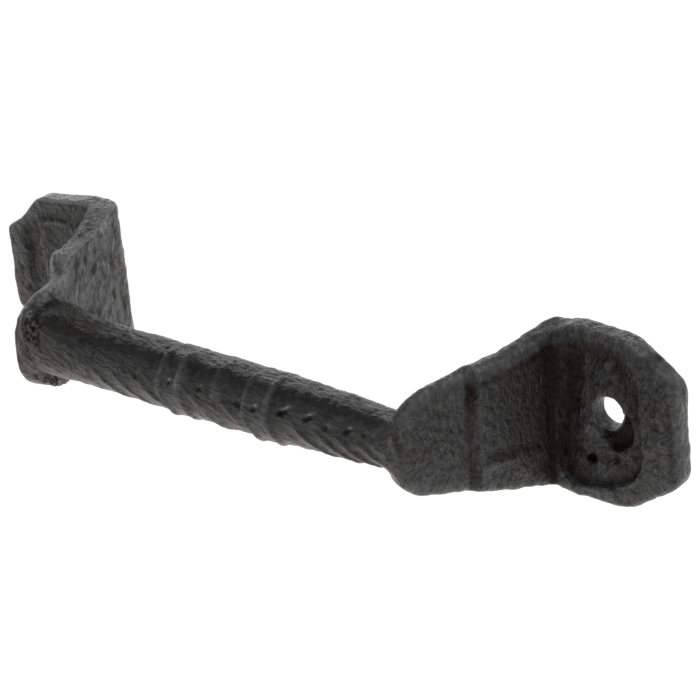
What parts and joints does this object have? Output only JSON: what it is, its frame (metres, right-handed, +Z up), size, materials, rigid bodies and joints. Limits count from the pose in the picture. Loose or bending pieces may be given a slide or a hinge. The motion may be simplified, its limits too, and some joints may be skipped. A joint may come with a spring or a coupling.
{
  "type": "bar pull handle",
  "caption": "Rigid bar pull handle: a round grip bar whose rounded end lobes sit on strap legs folded outwards into flat screw feet.",
  "frame": {"origin": "midway between the two screw feet, on the plane of their backs where they meet the door, at the middle of the strap's width", "axes": "+X along the grip bar towards the right foot, +Y into the door, +Z up across the strap's width; the grip stands in front of the door at -Y"},
  "size_m": [0.1557, 0.0363, 0.0316],
  "materials": {
    "black_iron": "satin black paint over rough sand-cast iron"
  },
  "bodies": {
    "root": {"grip_bar": "black_iron", "left_end_lobe": "black_iron", "right_end_lobe": "black_iron", "left_foot": "black_iron", "right_foot": "black_iron"}
  },
  "joints": []
}
